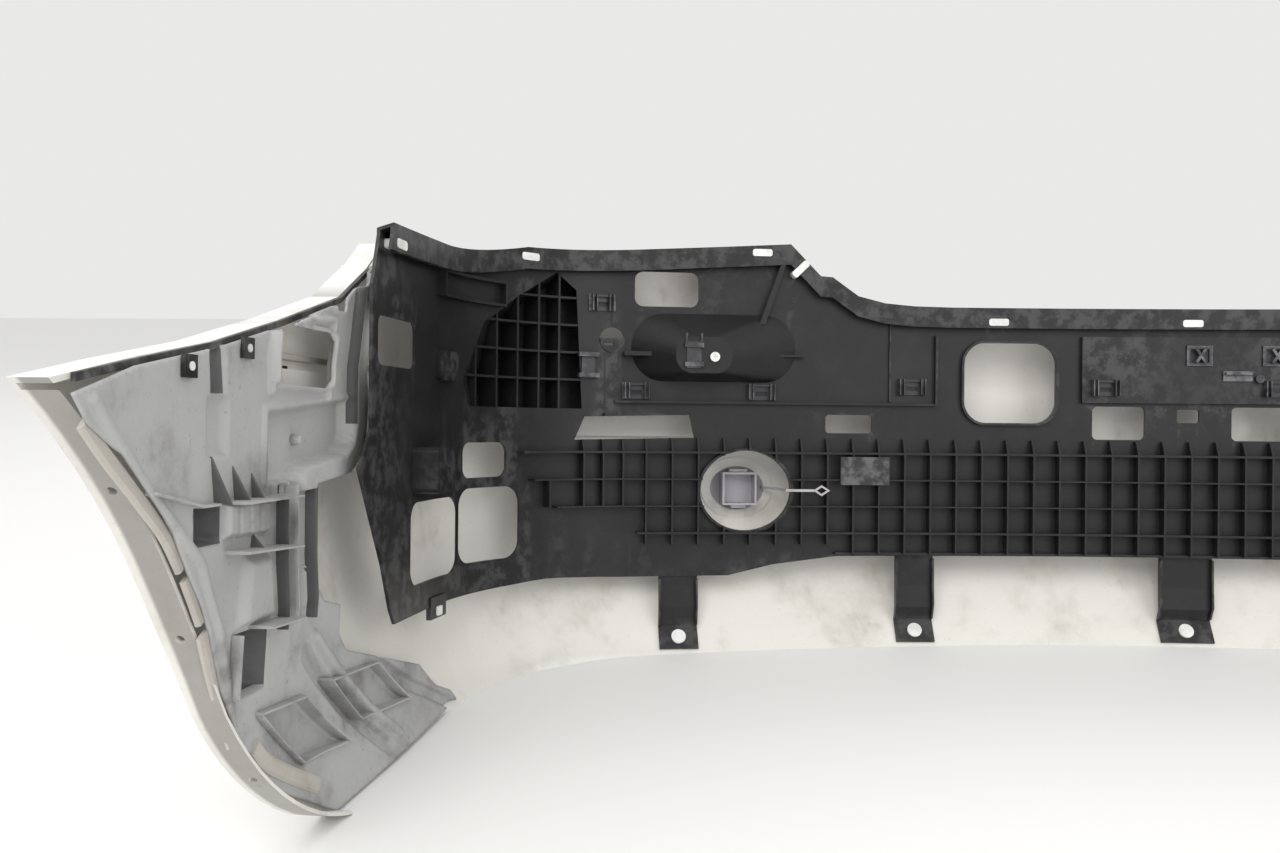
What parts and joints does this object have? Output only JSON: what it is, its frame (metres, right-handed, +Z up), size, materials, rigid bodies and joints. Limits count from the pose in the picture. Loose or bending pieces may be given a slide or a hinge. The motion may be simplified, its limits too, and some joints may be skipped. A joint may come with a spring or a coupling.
{
  "type": "bumper cover",
  "caption": "Rear bumper cover of a large saloon: painted skin with rub strips, black inner carrier, wing liners and a towing-eye cap.",
  "frame": {"origin": "centre of the bounding box at floor level, under the cover as it stands on its lower edge", "axes": "+X towards the car's left side along the cover's length, +Y rearward out of the painted face, +Z up; the car's level plane leans 8.8 degrees back in this pose"},
  "size_m": [1.8892, 0.8533, 0.4893],
  "materials": {
    "paint": "gloss",
    "carrier_plastic": "satin",
    "liner_plastic": "matte",
    "seal_rubber": "matte",
    "cap_plastic": "satin",
    "tether_plastic": "satin",
    "white_plastic": "satin",
    "clip_steel": "satin",
    "felt": "matte"
  },
  "bodies": {
    "bumper": {"bumper_skin": "paint", "inner_carrier": "carrier_plastic", "wing_liner_left": "liner_plastic", "wing_liner_right": "liner_plastic", "wing_seal_left": "seal_rubber", "wing_seal_right": "seal_rubber", "lower_strap_middle": "carrier_plastic", "lower_strap_inner_left": "carrier_plastic", "lower_strap_inner_right": "carrier_plastic", "lower_strap_outer_left": "carrier_plastic", "lower_strap_outer_right": "carrier_plastic", "strap_rivets": "white_plastic", "tow_cap_tether": "tether_plastic", "rub_strip_middle": "carrier_plastic", "rub_strip_left": "carrier_plastic", "rub_strip_right": "carrier_plastic", "rail_clips": "white_plastic", "field_clips": "clip_steel", "bar_brackets": "clip_steel", "v_clips": "clip_steel", "middle_fittings": "clip_steel", "housing_spring_clips": "clip_steel", "housing_screws": "white_plastic", "round_plugs": "carrier_plastic", "foot_clips": "white_plastic", "wing_clips": "carrier_plastic", "wing_clip_pins": "white_plastic", "felt_pad": "felt"},
    "towing_cap": {"tow_cap": "cap_plastic", "tow_cap_clips": "white_plastic"}
  },
  "joints": [
    {"name": "towing_cap_pull", "type": "slide", "parent": "bumper", "child": "towing_cap", "axis": [-0.1494, 0.9771, -0.1513], "range_m": [0, 0.034], "deforming": ["tow_cap_tether"]}
  ]
}
